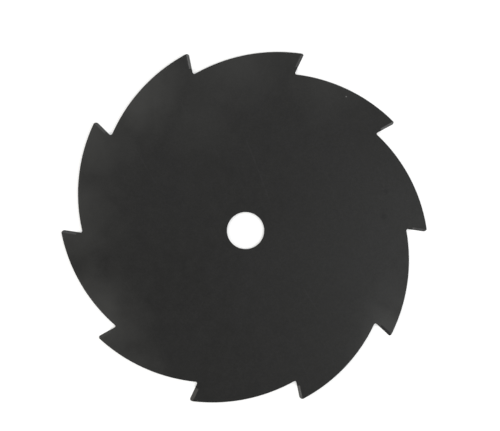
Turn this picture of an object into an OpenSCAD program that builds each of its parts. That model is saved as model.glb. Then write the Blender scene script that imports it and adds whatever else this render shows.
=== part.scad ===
// Toothed brush cutter blade: a flat steel disc with hooked saw teeth, ground sharp on their upper face.
// The origin is the centre of the bore on the lower face. +Z is the bore's axis and leaves the ground face.
// +X runs through the tip of the first tooth. Seen from +Z the teeth point clockwise.

/* [Plate] */
// Diameter over the tooth tips
tip_d = 250; // [200:1:300]
// Thickness of the steel plate
plate_t = 1.4; // [1.2:0.1:2.5]
// Nominal diameter of the spigot that centres the blade, one inch
spigot_d = 25.4; // [20:0.1:32]
// Play all round between the spigot and the bore
bore_play = 0.05; // [0.05:0.01:0.3]

/* [Teeth] */
// Number of teeth
tooth_count = 10; // [8:1:12]
// Depth of a tooth, from the tip circle down to the sharp corner of the gullet
tooth_depth = 14.3; // [12:0.1:18]
// Forward lean of the cutting edge from the radius through the tip, in degrees
hook_angle = 7.2; // [0:0.1:12]
// Fall of a tooth's back just behind the tip, in degrees below the tip circle
relief_angle = 9.4; // [6:0.1:13]
// Rounding of the tip, seen from above
tip_r = 1.6; // [0.6:0.1:2.4]
// Fillet in the gullet
gullet_r = 1.1; // [0.5:0.1:2]

/* [Ground bevel] */
// Width of the bevel along the cutting edge, seen from above
bevel_w = 1.8; // [1:0.1:3]
// Length of the bevel, from the tip towards the gullet
bevel_len = 10; // [5:0.5:11]
// Height of the square land left below the bevel
edge_land = 0.2; // [0.1:0.05:0.5]
// Radius of the wheel that ground the bevel, which rounds the bevel's inner end
wheel_r = 60; // [30:5:100]

/* [Hidden] */
coat_colour = [0.2, 0.2, 0.196];
fine_fn = 360;
arc_fn = 96;

pitch = 360 / tooth_count;
bore_d = spigot_d + 2 * bore_play;
// How far a round runs into the faces it joins, so that they close without a crack
blend_bite = 0.002;

// Unit vector at an angle, and a point turned about the origin
function unit(angle) = [cos(angle), sin(angle)];
function turned(p, angle) = [p.x * cos(angle) - p.y * sin(angle), p.x * sin(angle) + p.y * cos(angle)];

// The first tooth. Its tip is rounded about tip_c on the X axis, where the tip circle touches the round.
tip_c = [tip_d / 2 - tip_r - blend_bite, 0];

// The cutting edge runs along edge_dir, outward. Its open side is ahead of it, and it starts at edge_top.
edge_dir = unit(-hook_angle);
ahead = unit(-90 - hook_angle);
edge_top = tip_c + tip_r * ahead;

// The edge meets the circle of the gullet corners at gullet, run_in further down
gullet_corner_r = tip_d / 2 - tooth_depth;
edge_reach = edge_top * edge_dir;
run_in = edge_reach - sqrt(pow(edge_reach, 2) - edge_top * edge_top + pow(gullet_corner_r, 2));
gullet = edge_top - run_in * edge_dir;

// The back is one arc. It leaves the tip's round at back_top, square to back_dir.
// It ends in the next gullet.
back_dir = unit(relief_angle);
back_top = tip_c + tip_r * back_dir;
next_gullet = turned(gullet, pitch);
back_chord = back_top - next_gullet;
back_r = back_chord * back_chord / (2 * back_chord * back_dir);
back_c = back_top - back_r * back_dir;

// The fillet's centre lies ahead of the edge and outside the back of the tooth in front
fillet_gap = gullet_r - blend_bite;
front_back_c = turned(back_c, -pitch);
fillet_start = edge_top + fillet_gap * ahead;
to_start = fillet_start - front_back_c;
fillet_reach = to_start * edge_dir;
fillet_down = fillet_reach - sqrt(pow(fillet_reach, 2) - to_start * to_start + pow(back_r + fillet_gap, 2));
fillet_c = fillet_start - fillet_down * edge_dir;
fillet_on_edge = fillet_c - gullet_r * ahead;
fillet_on_back = fillet_c + gullet_r * (front_back_c - fillet_c) / norm(front_back_c - fillet_c);

// Points inside the metal, where the pieces of the outline overlap
behind_gullet = gullet - gullet_r * (fillet_c - gullet) / norm(fillet_c - gullet);
behind_edge = tip_c - tip_r * ahead;
behind_foot = gullet - 2 * tip_r * ahead;
past_gullet = turned(0.8 * next_gullet, pitch / 4);
// How far a cutting outline stands clear of the blade
clear_r = tip_d / 4;

// The bevel's plane leans back by bevel_angle from the upper face
bevel_angle = atan2(plate_t - edge_land, bevel_w);
wheel_t = plate_t;

// Metal between the back of a tooth and the centre, from the gullet on and behind the cutting edge
module tooth_back() {
    intersection() {
        translate(back_c) circle(r = back_r, $fn = fine_fn);
        polygon([
            [0, 0],
            gullet,
            tip_c,
            tip_c + clear_r * back_dir,
            next_gullet + clear_r * unit(pitch),
            next_gullet,
            past_gullet
        ]);
    }
}

// Strip of metal behind the cutting edge, as wide as the rounded tip
module tooth_front() {
    polygon([gullet, edge_top, behind_edge, behind_foot]);
}

// The rounded tip, which joins the cutting edge and the back
module tooth_tip() {
    translate(tip_c) circle(r = tip_r + blend_bite, $fn = arc_fn);
}

// The rounded corner at the foot of the cutting edge
module gullet_fillet() {
    difference() {
        polygon([fillet_c, fillet_on_edge, behind_gullet, fillet_on_back]);
        translate(fillet_c) circle(r = gullet_r, $fn = arc_fn);
    }
}

module tooth_outline() {
    tooth_back();
    tooth_front();
    tooth_tip();
    gullet_fillet();
}

module blade_outline() {
    circle(r = gullet_corner_r - 2 * gullet_r, $fn = fine_fn);
    for (k = [0 : tooth_count - 1]) rotate(k * pitch) tooth_outline();
}

// What the grinding wheel takes from the upper face of the first tooth
module bevel_cut() {
    translate(tip_c) rotate(-hook_angle)
        translate([tip_r - bevel_len + wheel_r, -tip_r, edge_land])
            rotate([bevel_angle, 0, 0]) cylinder(r = wheel_r, h = wheel_t, $fn = fine_fn);
}

module blade() {
    color(coat_colour) difference() {
        linear_extrude(plate_t) blade_outline();
        translate([0, 0, -plate_t]) cylinder(d = bore_d, h = 3 * plate_t, $fn = fine_fn);
        for (k = [0 : tooth_count - 1]) rotate(k * pitch) bevel_cut();
    }
}

blade();
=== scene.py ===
# Looks of the toothed brush cutter blade: a black coated disc with ten hand-ground teeth, on a white floor.
# The blade is made in millimetres, and its finished mesh is scaled to metres.
import cmath
import math
from typing import NamedTuple

import bmesh
import bpy
from mathutils import Euler, Matrix, Vector


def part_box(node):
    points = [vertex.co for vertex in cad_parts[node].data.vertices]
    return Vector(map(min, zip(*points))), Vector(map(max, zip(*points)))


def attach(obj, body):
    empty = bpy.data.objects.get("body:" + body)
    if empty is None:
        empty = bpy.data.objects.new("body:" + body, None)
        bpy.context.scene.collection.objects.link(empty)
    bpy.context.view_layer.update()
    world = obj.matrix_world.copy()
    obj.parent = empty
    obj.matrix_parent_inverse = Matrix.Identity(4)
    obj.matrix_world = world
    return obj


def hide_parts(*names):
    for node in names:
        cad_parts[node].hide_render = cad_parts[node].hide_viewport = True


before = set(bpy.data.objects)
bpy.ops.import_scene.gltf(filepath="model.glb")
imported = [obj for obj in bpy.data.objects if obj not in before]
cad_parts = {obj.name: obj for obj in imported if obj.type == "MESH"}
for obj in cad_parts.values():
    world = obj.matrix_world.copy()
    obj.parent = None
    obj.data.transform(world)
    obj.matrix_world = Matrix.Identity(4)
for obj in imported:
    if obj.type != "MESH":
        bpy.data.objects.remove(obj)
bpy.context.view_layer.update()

MM = 0.001

# Plate, its radius and thickness from the frame
LOW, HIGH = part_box("blade")
TIP_RADIUS = HIGH[0] / MM
PLATE = (HIGH[2] - LOW[2]) / MM
BORE_RADIUS = 12.75
TEETH = 10
PITCH = 360 / TEETH

# Outline. A tooth's lead is measured LEAD_DEPTH inside the tip circle.
TOOTH_DEPTH = 14.3
LEAD_DEPTH = 1.6
RELIEF = 9.4

# Mesh. Chords stay within CHORD_ERROR of their arc, and points closer than SEAM are joined.
RIM_ROUND = 0.09
RIM_STEPS = 3
CHORD_ERROR = 0.002
SEAM = 0.002
SHARP_ANGLE = 10

# Grinding wheel, and the tilts of its main pass and of the second one at the edge
WHEEL_RADIUS = 60
WHEEL_DEPTH = 3
WHEEL_SEGMENTS = 256
BEVEL_LENGTH = 10
MAIN_TILT = 33.7
EDGE_TILT = 42


class Pass(NamedTuple):
    """One pass of the grinding wheel, in millimetres and degrees."""
    land: float  # Height left at the cutting edge
    tilt: float = MAIN_TILT  # Lean of the ground face
    length: float = BEVEL_LENGTH  # Length of the ground face, from the tip
    skew: float = 0.0  # Turn of the wheel, seen from above


class Tooth(NamedTuple):
    """A tooth as it was cut and ground by hand, in millimetres and degrees."""
    rise: float  # How far the tip stands outside the nominal tip circle
    lead: float  # How far the cutting edge passes ahead of the tooth's axis
    hook: float  # Lean of the cutting edge
    nose: float  # Round of the tip
    gullet: float  # Fillet at the foot of the cutting edge
    tone: float  # How bright the ground steel is made: painted reflection, lighter or darker as this bevel caught the light
    passes: list  # Passes of the grinding wheel, in their order


# The teeth, counter-clockwise from the one on +X
# Their tones are painted reflection, each bevel lighter or darker as it caught the light
HAND = [
    Tooth(0.00, 2.23, 9.1, 1.80, 0.90, 0.95, [Pass(0.21), Pass(0.12, EDGE_TILT)]),
    Tooth(0.05, 1.64, 8.4, 1.15, 0.95, 1.30, [Pass(0.30, skew=1.2)]),
    Tooth(0.35, 1.76, 8.5, 0.90, 1.10, 0.42, [Pass(0.27), Pass(0.13, EDGE_TILT)]),
    Tooth(0.10, 1.74, 7.3, 1.40, 1.35, 1.30, [Pass(0.22, skew=0.8), Pass(0.12, EDGE_TILT)]),
    Tooth(0.00, 1.87, 9.7, 1.85, 1.45, 1.05, [Pass(0.25)]),
    Tooth(0.00, 1.92, 9.4, 1.75, 1.20, 0.78, [Pass(0.22), Pass(0.12, EDGE_TILT)]),
    Tooth(0.20, 1.70, 7.3, 1.20, 1.10, 0.64, [Pass(0.16)]),
    Tooth(0.05, 1.80, 7.5, 1.25, 1.15, 0.45, [Pass(0.13), Pass(0.12, 28.5, skew=-1.5)]),
    Tooth(0.00, 1.72, 6.8, 1.85, 1.10, 1.35, [Pass(0.13)]),
    Tooth(0.30, 1.95, 7.4, 0.80, 1.10, 0.45, [Pass(0.12, 33.0)]),
]


# Outline of the teeth, as points and directions in the complex plane

class Edge(NamedTuple):
    """A tooth's cutting edge."""
    centre: complex  # Centre of the tip's round
    along: complex  # Direction of the edge, outward
    ahead: complex  # Direction of its open side
    top: complex  # Where it meets the tip's round


class Back(NamedTuple):
    """The arc that is a tooth's back."""
    centre: complex
    radius: float
    out: complex  # Direction from the centre to the start of the arc


def unit(degrees):
    return cmath.rect(1, math.radians(degrees))


def dot(a, b):
    return (a * b.conjugate()).real


def heading(a):
    return math.degrees(cmath.phase(a))


def edge_of(k):
    """Tooth k's cutting edge, which touches the round of its tip."""
    tooth = HAND[k % TEETH]
    axis = unit(k * PITCH)
    along = unit(-tooth.hook) * axis
    ahead = -1j * along
    nose_radius = TIP_RADIUS + tooth.rise - tooth.nose
    behind = (TIP_RADIUS - LEAD_DEPTH) * axis + (tooth.lead - tooth.nose) * ahead
    reach = dot(behind, along)
    centre = behind + (math.sqrt(reach**2 - abs(behind) ** 2 + nose_radius**2) - reach) * along
    return Edge(centre, along, ahead, centre + tooth.nose * ahead)


def gullet_corner(k):
    """Sharp corner at the foot of tooth k's cutting edge, before its fillet."""
    edge = edge_of(k)
    reach = dot(edge.top, edge.along)
    corner_radius = TIP_RADIUS - TOOTH_DEPTH
    down = reach - math.sqrt(reach**2 - abs(edge.top) ** 2 + corner_radius**2)
    return edge.top - down * edge.along


def back_of(k):
    """Tooth k's back, from the round of its tip to the corner of the next gullet."""
    out = unit(RELIEF + k * PITCH)
    start = edge_of(k).centre + HAND[k % TEETH].nose * out
    chord = start - gullet_corner(k + 1)
    radius = abs(chord) ** 2 / (2 * dot(chord, out))
    return Back(start - radius * out, radius, out)


def fillet_of(k):
    """Centre of the fillet in tooth k's gullet. It touches the edge and the back of the tooth in front."""
    radius = HAND[k % TEETH].gullet
    edge = edge_of(k)
    in_front = back_of(k - 1)
    start = edge.top + radius * edge.ahead
    offset = start - in_front.centre
    reach = dot(offset, edge.along)
    down = reach - math.sqrt(reach**2 - abs(offset) ** 2 + (in_front.radius + radius) ** 2)
    return start - down * edge.along


def arc(centre, radius, start, end, outward=1):
    """Points from one angle to the other, each with its normal: outward 1 is away from the centre."""
    step = math.degrees(2 * math.acos(1 - CHORD_ERROR / radius))
    count = max(2, math.ceil(abs(end - start) / step))
    angles = [start + (end - start) * i / count for i in range(count + 1)]
    return [(centre + radius * unit(a), outward * unit(a)) for a in angles]


def tooth_points(k):
    """Outline of tooth k, from its gullet up the cutting edge, over the tip and down the back."""
    edge = edge_of(k)
    back = back_of(k)
    fillet = fillet_of(k)
    foot = heading(-edge.ahead)
    foot_turn = (heading(back_of(k - 1).centre - fillet) - foot) % 360
    nose_start = heading(edge.ahead)
    nose_turn = (RELIEF + k * PITCH - nose_start) % 360
    back_start = heading(back.out)
    back_turn = (heading(fillet_of(k + 1) - back.centre) - back_start) % 360
    points = arc(fillet, HAND[k].gullet, foot + foot_turn, foot, -1)
    points += arc(edge.centre, HAND[k].nose, nose_start, nose_start + nose_turn)
    return points + arc(back.centre, back.radius, back_start, back_start + back_turn)[1:-1]


# Blade mesh

def rim_profile():
    """(inset, height) from the lower face round the rim to the upper face."""
    quarter = [math.radians(90 * i / RIM_STEPS) for i in range(RIM_STEPS + 1)]
    lower = [(RIM_ROUND * (1 - math.sin(a)), RIM_ROUND * (1 - math.cos(a))) for a in quarter]
    return lower + [(inset, PLATE - height) for inset, height in reversed(lower)]


def wall(bm, points):
    """Rounded wall round a closed outline. Returns the edges of its lower and upper end."""
    rings = []
    for inset, height in rim_profile():
        places = [point - inset * normal for point, normal in points]
        rings.append([bm.verts.new((p.real, p.imag, height)) for p in places])
    count = len(points)
    for low, high in zip(rings, rings[1:]):
        for i in range(count):
            j = (i + 1) % count
            bm.faces.new((low[i], low[j], high[j], high[i]))
    bm.edges.index_update()
    ends = []
    for ring in (rings[0], rings[-1]):
        ends.append([bm.edges.get((ring[i], ring[(i + 1) % count])) for i in range(count)])
    return ends


def object_of(bm, name):
    """Object with the mesh that bm holds."""
    mesh = bpy.data.meshes.new(name)
    bm.to_mesh(mesh)
    bm.free()
    return bpy.data.objects.new(name, mesh)


def plain_blade():
    """The blade before grinding."""
    bm = bmesh.new()
    outline = [pair for k in range(TEETH) for pair in tooth_points(k)]
    bore = arc(0, BORE_RADIUS, 0, 360, -1)[:-1]
    outer = wall(bm, outline)
    inner = wall(bm, bore)
    for outer_end, inner_end, up in ((outer[0], inner[0], -1), (outer[1], inner[1], 1)):
        bmesh.ops.triangle_fill(bm, use_beauty=True, edges=outer_end + inner_end, normal=(0, 0, up))
    bmesh.ops.recalc_face_normals(bm, faces=bm.faces)
    return object_of(bm, "coated_blade")


def tooth_frame(k):
    """Matrix from tooth k's own frame, X outward along the cutting edge from its top and Y behind it."""
    edge = edge_of(k)
    place = Matrix.Translation((edge.top.real, edge.top.imag, 0))
    return place @ Matrix.Rotation(cmath.phase(edge.along), 4, "Z")


def wheel(k, one):
    """The grinding wheel at tooth k for one pass, its flat side on the face that it grinds."""
    bm = bmesh.new()
    size = {"radius1": WHEEL_RADIUS, "radius2": WHEEL_RADIUS, "depth": WHEEL_DEPTH}
    bmesh.ops.create_cone(bm, cap_ends=True, segments=WHEEL_SEGMENTS, **size)
    lift = Matrix.Translation((0, 0, WHEEL_DEPTH / 2))
    lean = Matrix.Rotation(math.radians(one.tilt), 4, "X")
    turn = Matrix.Rotation(math.radians(one.skew), 4, "Z")
    place = Matrix.Translation((HAND[k].nose - one.length + WHEEL_RADIUS, 0, one.land))
    bm.transform(tooth_frame(k) @ turn @ place @ lean @ lift)
    return object_of(bm, "wheel")


def close_seams(mesh):
    """Joins the points that the cuts left side by side."""
    bm = bmesh.new()
    bm.from_mesh(mesh)
    bmesh.ops.remove_doubles(bm, verts=bm.verts, dist=SEAM)
    bmesh.ops.dissolve_degenerate(bm, edges=bm.edges, dist=SEAM)
    bm.to_mesh(mesh)
    bm.free()


def take_pass(blade, tool):
    """Cuts one pass of the wheel off the blade. What is ground shows the wheel's material."""
    cut = blade.modifiers.new("grind", "BOOLEAN")
    cut.operation = "DIFFERENCE"
    cut.solver = "EXACT"
    cut.material_mode = "TRANSFER"
    cut.object = tool
    ready = blade.evaluated_get(bpy.context.evaluated_depsgraph_get())
    mesh = bpy.data.meshes.new_from_object(ready)
    blade.modifiers.clear()
    close_seams(mesh)
    blade.data = mesh


def grind(blade, steel):
    """Takes every pass of the wheel off the blade, one after the other."""
    for k, tooth in enumerate(HAND):
        for one in tooth.passes:
            tool = wheel(k, one)
            tool.data.materials.append(steel)
            bpy.context.collection.objects.link(tool)
            take_pass(blade, tool)
            bpy.data.objects.remove(tool)


# Shift of the wheel's marks from one tooth to the next, so that no two teeth show the same ones
MARKS_SHIFT = 40.0


def mark_grinding(blade):
    """Gives ground faces their place along and across the cutting edge in millimetres, and their tone,
    which is painted reflection: each tooth lighter or darker as its bevel caught the light.
    """
    mesh = blade.data
    places = mesh.attributes.new("grind_place", "FLOAT_VECTOR", "CORNER")
    reflection_tones = mesh.attributes.new("grind_reflection_tone", "FLOAT", "FACE")
    to_tooth = [tooth_frame(k).inverted() for k in range(TEETH)]
    for face in mesh.polygons:
        k = round(math.degrees(math.atan2(face.center.y, face.center.x)) / PITCH) % TEETH
        reflection_tones.data[face.index].value = HAND[k].tone
        for loop in face.loop_indices:
            point = to_tooth[k] @ mesh.vertices[mesh.loops[loop].vertex_index].co
            places.data[loop].vector = point + Vector((MARKS_SHIFT * k, 0, 0))


def make_blade(coat, steel):
    blade = plain_blade()
    bpy.context.collection.objects.link(blade)
    blade.data.materials.append(coat)
    grind(blade, steel)
    mark_grinding(blade)
    blade.data.transform(Matrix.Scale(MM, 4))
    blade.data.shade_smooth()
    blade.data.set_sharp_from_angle(angle=math.radians(SHARP_ANGLE))
    return blade


# Materials

def grey(level, warmth=0.0):
    """Linear grey, with less blue the warmer it is."""
    return (level, level, level * (1 - warmth), 1)


class Tree:
    """The nodes of a material or of the world. An input is a value or the output of another node."""

    def __init__(self, owner):
        owner.use_nodes = True
        self.owner = owner
        self.nodes = owner.node_tree.nodes
        self.links = owner.node_tree.links
        self.nodes.clear()

    def node(self, kind, inputs, **settings):
        node = self.nodes.new("ShaderNode" + kind)
        for name, value in settings.items():
            setattr(node, name, value)
        for name, value in inputs.items():
            if isinstance(value, bpy.types.NodeSocket):
                self.links.new(value, node.inputs[name])
            else:
                node.inputs[name].default_value = value
        return node

    def math(self, operation, a, b=0.0, clamp=False):
        return self.node("Math", {0: a, 1: b}, operation=operation, use_clamp=clamp).outputs[0]

    def vector(self, operation, a, b=(0, 0, 0), result="Vector"):
        return self.node("VectorMath", {0: a, 1: b}, operation=operation).outputs[result]

    def noise(self, place, scale, detail=3.0, roughness=0.55):
        """Noise. Its scale is the number of features in one unit of the place."""
        inputs = {"Vector": place, "Scale": scale, "Detail": detail, "Roughness": roughness}
        return self.node("TexNoise", inputs).outputs["Fac"]

    def ramp(self, value, low, high, to_low=0.0, to_high=1.0, shape="LINEAR"):
        inputs = {"Value": value, "From Min": low, "From Max": high, "To Min": to_low, "To Max": to_high}
        return self.node("MapRange", inputs, clamp=True, interpolation_type=shape).outputs[0]

    def mix(self, factor, a, b):
        inputs = {"Factor": factor, 6: a, 7: b}
        return self.node("Mix", inputs, data_type="RGBA").outputs[2]

    def layer(self, tone, mask, strength, colour):
        """The tone with a colour laid over it where the mask is."""
        return self.mix(self.math("MULTIPLY", mask, strength), tone, colour)

    def strongest(self, masks):
        best = masks[0]
        for mask in masks[1:]:
            best = self.math("MAXIMUM", best, mask)
        return best

    def bump(self, height, distance, strength, normal=None):
        inputs = {"Height": height, "Distance": distance, "Strength": strength}
        if normal is not None:
            inputs["Normal"] = normal
        return self.node("Bump", inputs).outputs[0]

    def finish(self, shader, kind="Material"):
        """Links the shader to an output and gives back the material or the world."""
        output = self.nodes.new("ShaderNodeOutput" + kind)
        self.links.new(shader.outputs[0], output.inputs["Surface"])
        return self.owner


# Long scratches on the upper face in millimetres: start, end, bow to the right, half width, strength
SCRATCHES = [
    ((-3.2, 71.5), (18.0, 15.2), -0.8, 0.75, 0.26),
    ((-75.7, 60.6), (-57.4, 28.5), 0.5, 0.60, 0.22),
    ((38.2, -37.5), (50.2, -57.4), 0.4, 0.60, 0.24),
    ((-43.7, 88.8), (-38.7, 79.7), 0.0, 0.60, 0.18),
    ((-20.6, 57.0), (-14.2, 44.3), 0.2, 1.00, 0.12),
]

# Patches of painted light on the upper face in millimetres: place, radius, strength. The pale ones are
# painted sheen towards the rim at the left, top and right; the dark ones are painted shade over the middle
# and lower part.
PAINTED_SHEEN_PATCHES = [
    ((-80, 102), 54, 1.0),
    ((-110, 72), 54, 0.8),
    ((-126, 14), 54, 0.7),
    ((-112, -62), 54, 1.0),
    ((-84, -98), 34, 0.6),
    ((-6, 122), 54, 0.5),
    ((60, 108), 46, 0.45),
    ((104, -50), 24, 0.25),
    ((100, -78), 34, 0.8),
    ((-30, 76), 36, 0.25),
]
# Painted shade: darker patches over the middle and lower part of the face
PAINTED_SHADE_PATCHES = [
    ((-38, -42), 56, 0.7),
    ((-10, -84), 48, 0.6),
    ((44, -56), 66, 1.0),
    ((70, -6), 56, 0.5),
    ((20, 20), 50, 0.4),
]
# How far the outline of a patch wanders in and out, in millimetres
PATCH_WANDER = 6

# Specks on the upper face in millimetres: place, radius
CHIP = ((69.1, 90.2), 0.55)
DARK_SPOTS = [((96.5, 25.8), 2.4), ((95.2, 8.4), 2.8)]

# Fine handling marks: angle in degrees, length and width of their pattern in millimetres
HANDLING = [(62, 45, 0.45), (-38, 30, 0.4), (110, 60, 0.5)]

# Colours of the coat, which wanders slowly between two greys
CLOUD_DARK = grey(0.0080, 0.10)
CLOUD_PALE = grey(0.0103, 0.02)
# What lies over it, from the first layer to the last: strength, colour
COAT_LAYERS = {
    # Painted shade over the middle and lower part of the upper face
    "painted_shade_patch": (0.8, grey(0.0050, 0.18)),
    "mottle": (0.4, grey(0.0165, 0.06)),
    "fleck": (0.48, grey(0.0160, 0.02)),
    "grain": (0.75, grey(0.004)),
    # Painted sheen, paler towards the rim at the left, top and right
    "painted_sheen_patch": (0.75, grey(0.0420, 0.04)),
    "handled": (0.10, grey(0.04)),
    "scratch": (0.5, grey(0.05)),
    "dark_spot": (0.8, grey(0.002)),
    "worn_rim": (0.6, grey(0.09, 0.02)),
    "chip": (1.0, grey(0.16)),
}
COAT_SHINE = 0.17
# Heights of the coat's relief: orange peel, the finer tooth on it, marks, and the cut's drag lines
PEEL_HEIGHT = 0.012 * MM
FINE_HEIGHT = 0.004 * MM
MARK_DEPTH = 0.01 * MM
DRAG_DEPTH = 0.03 * MM


class Coat(Tree):
    """The satin black coat. What several of its channels need is made at the start."""

    def __init__(self):
        super().__init__(bpy.data.materials.new("satin_black_coat"))
        coords = self.node("TexCoord", {}).outputs
        self.place = self.vector("MULTIPLY", coords["Object"], (1 / MM, 1 / MM, 1 / MM))
        facing = self.node("SeparateXYZ", {0: coords["Normal"]}).outputs[2]
        self.upward = self.math("ABSOLUTE", facing)
        self.upper_face = self.ramp(facing, 0.5, 0.9)
        self.mottle = self.noise(self.place, 0.11, 4.0, 0.6)
        self.grain = self.noise(self.place, 1.1, 3.0, 0.6)
        self.marks = self.handling_marks()
        self.scratches = self.long_scratches()
        self.chip = self.math("MULTIPLY", self.spot(*CHIP), self.upper_face)

    def distance(self, middle):
        """Distance from a place on the face."""
        away = self.vector("SUBTRACT", self.place, (*middle, 0))
        flat = self.vector("MULTIPLY", away, (1, 1, 0))
        return self.vector("LENGTH", flat, (0, 0, 0), "Value")

    def spot(self, middle, radius):
        """1 in the middle of a round spot, 0 from its radius on."""
        return self.ramp(self.distance(middle), 0.3 * radius, radius, 1, 0)

    def patches(self, spots):
        """Soft round patches together, with ragged outlines."""
        ragged = self.noise(self.place, 0.05, 3.0)
        shift = self.ramp(ragged, 0.3, 0.7, -PATCH_WANDER, PATCH_WANDER)
        masks = []
        for middle, radius, strength in spots:
            distance = self.math("ADD", self.distance(middle), shift)
            masks.append(self.ramp(distance, 0, radius, strength, 0, "SMOOTHSTEP"))
        return self.strongest(masks)

    def scratch(self, start, end, bow, half_width, strength):
        """The mark of one long scratch, which fades out across and at both ends."""
        a = Vector((*start, 0))
        span = Vector((*end, 0)) - a
        offset = self.vector("SUBTRACT", self.place, a)
        share = self.math("DIVIDE", self.vector("DOT_PRODUCT", offset, span, "Value"), span.length_squared)
        right = Vector((span.y, -span.x, 0)).normalized()
        aside = self.vector("DOT_PRODUCT", offset, right, "Value")
        rest = self.math("SUBTRACT", 1.0, share)
        bend = self.math("MULTIPLY", self.math("MULTIPLY", share, rest), 4 * bow)
        across = self.math("ABSOLUTE", self.math("SUBTRACT", aside, bend))
        ends = self.math("MULTIPLY", self.ramp(share, 0, 0.25), self.ramp(share, 0.85, 1, 1, 0))
        return self.math("MULTIPLY", self.ramp(across, 0, half_width, strength, 0), ends)

    def long_scratches(self):
        """The long scratches together, broken here and there."""
        lines = self.strongest([self.scratch(*line) for line in SCRATCHES])
        broken = self.ramp(self.noise(self.place, 0.3, 3.0), 0.35, 0.6, 0.25, 1)
        return self.math("MULTIPLY", self.math("MULTIPLY", lines, broken), self.upper_face)

    def handling_marks(self):
        """Fine handling marks, drawn out in three directions."""
        masks = []
        for angle, length, width in HANDLING:
            turn = (0, 0, math.radians(angle))
            inputs = {"Vector": self.place, "Rotation": turn, "Scale": (length, width, 1)}
            drawn = self.node("Mapping", inputs, vector_type="TEXTURE").outputs[0]
            masks.append(self.ramp(self.noise(drawn, 1.0, 1.0), 0.72, 0.82))
        return self.strongest(masks)

    def dark_spots(self):
        spots = self.strongest([self.spot(*one) for one in DARK_SPOTS])
        speckled = self.ramp(self.grain, 0.3, 0.6, 0.5, 1)
        return self.math("MULTIPLY", self.math("MULTIPLY", spots, self.upper_face), speckled)

    def worn_rims(self):
        """The rounded rims, where the coat is rubbed thin here and there."""
        off_wall = self.ramp(self.upward, 0.05, 0.3)
        off_face = self.ramp(self.upward, 0.9, 0.99, 1, 0)
        rubbed = self.ramp(self.noise(self.place, 0.35, 3.0), 0.45, 0.62)
        return self.math("MULTIPLY", self.math("MULTIPLY", off_wall, off_face), rubbed)

    def colour(self):
        clouds = self.noise(self.place, 0.016, 2.0)
        flecks = self.noise(self.place, 0.42, 2.0, 0.6)
        masks = {
            # Painted shade
            "painted_shade_patch": self.patches(PAINTED_SHADE_PATCHES),
            "mottle": self.ramp(self.mottle, 0.35, 0.7),
            "fleck": self.ramp(flecks, 0.3, 0.7),
            "grain": self.ramp(self.grain, 0.3, 0.8),
            # Painted sheen
            "painted_sheen_patch": self.patches(PAINTED_SHEEN_PATCHES),
            "handled": self.marks,
            "scratch": self.scratches,
            "dark_spot": self.dark_spots(),
            "worn_rim": self.worn_rims(),
            "chip": self.chip,
        }
        tone = self.mix(self.ramp(clouds, 0.3, 0.7), CLOUD_DARK, CLOUD_PALE)
        for name, (strength, colour) in COAT_LAYERS.items():
            tone = self.layer(tone, masks[name], strength, colour)
        return tone

    def roughness(self):
        broad = self.ramp(self.mottle, 0.3, 0.7, 0.40, 0.50)
        fine = self.ramp(self.grain, 0.3, 0.7, -0.03, 0.03)
        rubbed = self.math("MULTIPLY", self.marks, 0.10)
        return self.math("SUBTRACT", self.math("ADD", broad, fine), rubbed, clamp=True)

    def relief(self):
        """Orange peel with a finer tooth, the marks sunk in it, and the cut's drag lines down the edge."""
        relief = self.bump(self.noise(self.place, 0.9, 2.0), PEEL_HEIGHT, 1.0)
        relief = self.bump(self.noise(self.place, 4.5, 3.0, 0.6), FINE_HEIGHT, 1.0, relief)
        marked = self.strongest([self.scratches, self.chip, self.math("MULTIPLY", self.marks, 0.4)])
        relief = self.bump(self.math("SUBTRACT", 0.0, marked), MARK_DEPTH, 0.6, relief)
        drawn = self.node("Mapping", {"Vector": self.place, "Scale": (1, 1, 0.06)}).outputs[0]
        drag = self.math("MULTIPLY", self.noise(drawn, 2.4, 3.0), self.ramp(self.upward, 0.05, 0.2, 1, 0))
        return self.bump(drag, DRAG_DEPTH, 1.0, relief)

    def material(self):
        inputs = {"Base Color": self.colour(), "Roughness": self.roughness(), "Normal": self.relief()}
        inputs["Specular IOR Level"] = COAT_SHINE
        return self.finish(self.node("BsdfPrincipled", inputs))


# Ground steel: greys and depths of the wheel's fine lines, its dull blotches and its bright streaks
LINE_DARK = grey(0.045)
LINE_PALE = grey(0.085, 0.02)
BLOTCH = grey(0.035, 0.03)
STREAK = grey(0.11, 0.02)
LINE_DEPTH = 0.006 * MM
STREAK_DEPTH = 0.012 * MM
# Turn of the wheel's lines from square to the cutting edge, in degrees
LINE_TURN = 12


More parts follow.
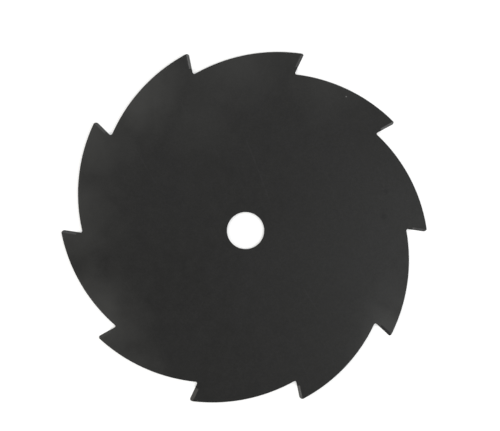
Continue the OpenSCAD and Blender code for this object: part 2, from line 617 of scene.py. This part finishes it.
def steel_material():
    tree = Tree(bpy.data.materials.new("ground_steel"))
    place = tree.node("Attribute", {}, attribute_name="grind_place").outputs["Vector"]
    ground_reflection_tone = tree.node("Attribute", {}, attribute_name="grind_reflection_tone").outputs["Fac"]
    # Scratches of the wheel, which run across the cutting edge
    inputs = {"Vector": place, "Rotation": (0, 0, math.radians(LINE_TURN)), "Scale": (5.0, 0.25, 0.25)}
    lines = tree.node("Mapping", inputs).outputs[0]
    fine = tree.noise(lines, 1.6, 3.0, 0.65)
    broad = tree.noise(lines, 0.35, 2.0)
    blotches = tree.noise(place, 0.5, 3.0, 0.6)
    tone = tree.mix(tree.ramp(fine, 0.3, 0.7), LINE_DARK, LINE_PALE)
    tone = tree.layer(tone, tree.ramp(blotches, 0.45, 0.75), 0.5, BLOTCH)
    tone = tree.layer(tone, tree.ramp(broad, 0.5, 0.75), 0.35, STREAK)
    # Each tooth's ground steel made lighter or darker: painted reflection, for how brightly its bevel
    # caught the light
    level = tree.node("CombineXYZ", {0: ground_reflection_tone, 1: ground_reflection_tone, 2: ground_reflection_tone}).outputs[0]
    tone = tree.vector("MULTIPLY", tone, level)
    rough = tree.ramp(fine, 0.3, 0.7, 0.34, 0.5)
    relief = tree.bump(fine, LINE_DEPTH, 1.0)
    relief = tree.bump(broad, STREAK_DEPTH, 1.0, relief)
    inputs = {"Base Color": tone, "Metallic": 1.0, "Roughness": rough, "Normal": relief}
    return tree.finish(tree.node("BsdfPrincipled", inputs))


# Studio

FLOOR_SIZE = 12.0
FLOOR_GREY = 0.85
# Gap below the blade, so that the two faces don't lie in one plane
FLOOR_GAP = 0.02 * MM
# Glow of the floor for rays that show it as a background: near the blade, where its shadow is, and far away
GLOW_NEAR = 0.22
GLOW_FAR = 0.70
NEAR_EDGE = 0.2
FAR_EDGE = 0.8
# Light from all round, for rays that don't show it as a background
WORLD_LEVEL = 0.45


def seen_directly(tree):
    """1 for rays that show a background: straight from the camera, or by gloss or glass."""
    path = tree.node("LightPath", {}).outputs
    seen = tree.math("MAXIMUM", path["Is Camera Ray"], path["Is Glossy Ray"])
    return tree.math("MAXIMUM", seen, path["Is Transmission Ray"])


def floor_material():
    tree = Tree(bpy.data.materials.new("white_floor"))
    place = tree.node("TexCoord", {}).outputs["Object"]
    away = tree.vector("LENGTH", place, (0, 0, 0), "Value")
    glow = tree.ramp(away, NEAR_EDGE, FAR_EDGE, GLOW_NEAR, GLOW_FAR)
    strength = tree.math("MULTIPLY", seen_directly(tree), glow)
    matt = tree.node("BsdfDiffuse", {"Color": grey(FLOOR_GREY)})
    light = tree.node("Emission", {"Color": grey(1.0), "Strength": strength})
    return tree.finish(tree.node("AddShader", {0: matt.outputs[0], 1: light.outputs[0]}))


def make_floor():
    mesh = bpy.data.meshes.new("floor")
    half = FLOOR_SIZE / 2
    corners = [(-half, -half), (half, -half), (half, half), (-half, half)]
    mesh.from_pydata([(x, y, LOW[2] - FLOOR_GAP) for x, y in corners], [], [(0, 1, 2, 3)])
    mesh.materials.append(floor_material())
    floor = bpy.data.objects.new("floor", mesh)
    bpy.context.collection.objects.link(floor)


def make_world():
    """White where it shows as a background, and a plain level of light from it otherwise."""
    tree = Tree(bpy.data.worlds.new("studio"))
    strength = tree.ramp(seen_directly(tree), 0, 1, WORLD_LEVEL, 1)
    background = tree.node("Background", {"Color": grey(1.0), "Strength": strength})
    bpy.context.scene.world = tree.finish(background, "World")


# name: place in metres, width and height, power in watts, colour
LAMPS = {
    "lamp_left": ((-0.80, -0.12, 0.36), (0.55, 0.40), 3.0, (1.0, 0.95, 0.85)),
    "lamp_right": ((0.85, 0.0, 0.36), (0.55, 0.40), 3.0, (1.0, 1.0, 1.0)),
    "lamp_above_right": ((0.48, -0.20, 0.80), (0.6, 0.6), 2.8, (0.98, 1.0, 1.0)),
    "lamp_above_back": ((-0.25, 0.60, 0.80), (0.6, 0.6), 2.2, (1.0, 1.0, 1.0)),
}


def add_lamp(name, place, size, power, colour):
    """Soft box turned to the middle of the blade."""
    lamp = bpy.data.lights.new(name, "AREA")
    lamp.shape = "RECTANGLE"
    lamp.size, lamp.size_y = size
    lamp.energy = power
    lamp.color = colour
    box = bpy.data.objects.new(name, lamp)
    box.location = place
    box.rotation_euler = (-Vector(place)).to_track_quat("-Z", "Y").to_euler()
    bpy.context.collection.objects.link(box)


def make_lamps():
    for name, settings in LAMPS.items():
        add_lamp(name, *settings)


# Camera: place in metres, turn in degrees, lens and sensor in millimetres, range of its view in metres
CAMERA_PLACE = (-0.00653, 0.03551, 0.38002)
CAMERA_TURN = (-3.7805, -1.4999, -0.6084)
LENS = 40.0
SENSOR_WIDTH = 36.0
NEAREST = 0.01
FARTHEST = 50.0


def make_camera():
    data = bpy.data.cameras.new("camera")
    data.lens = LENS
    data.sensor_width = SENSOR_WIDTH
    data.clip_start = NEAREST
    data.clip_end = FARTHEST
    camera = bpy.data.objects.new("camera", data)
    camera.location = CAMERA_PLACE
    camera.rotation_euler = Euler([math.radians(a) for a in CAMERA_TURN], "XYZ")
    bpy.context.collection.objects.link(camera)
    bpy.context.scene.camera = camera


make_camera()
make_world()
make_lamps()
make_floor()
blade = make_blade(Coat().material(), steel_material())
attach(blade, "root")
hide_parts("blade")
bpy.context.scene.view_settings.view_transform = "Standard"
